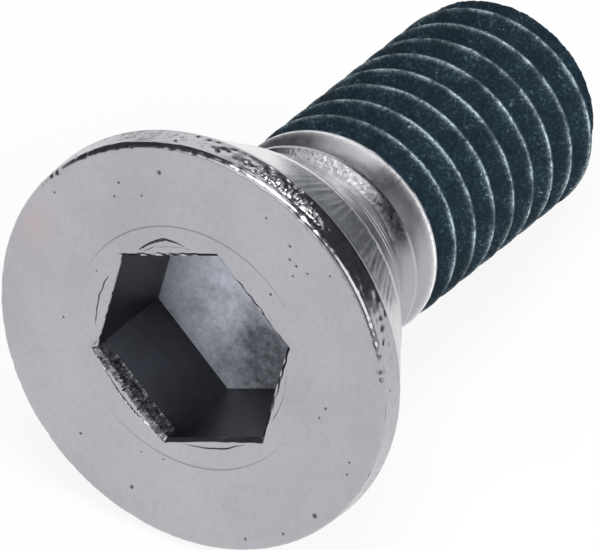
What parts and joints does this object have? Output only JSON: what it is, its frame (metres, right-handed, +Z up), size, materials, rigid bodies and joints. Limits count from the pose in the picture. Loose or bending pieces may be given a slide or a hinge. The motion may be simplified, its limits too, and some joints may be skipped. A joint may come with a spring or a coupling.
{
  "type": "countersunk socket screw",
  "caption": "Countersunk socket screw with a flat head, a hexagon socket, a conical seat and a fully threaded shank with a chamfered tip, lying at rest.",
  "frame": {"origin": "on the table that the screw lies on, under the middle of its bounding box", "axes": "+X points the way the tip points, +Z up; the screw's own axis lies in the XZ plane and dips towards the tip"},
  "size_m": [0.0174, 0.0116, 0.0114],
  "materials": {
    "plated_steel": "bright zinc plating, with a dry blue-green thread-locking coat on the thread from the second full crest to the tip"
  },
  "bodies": {
    "root": {"screw": "plated_steel"}
  },
  "joints": []
}
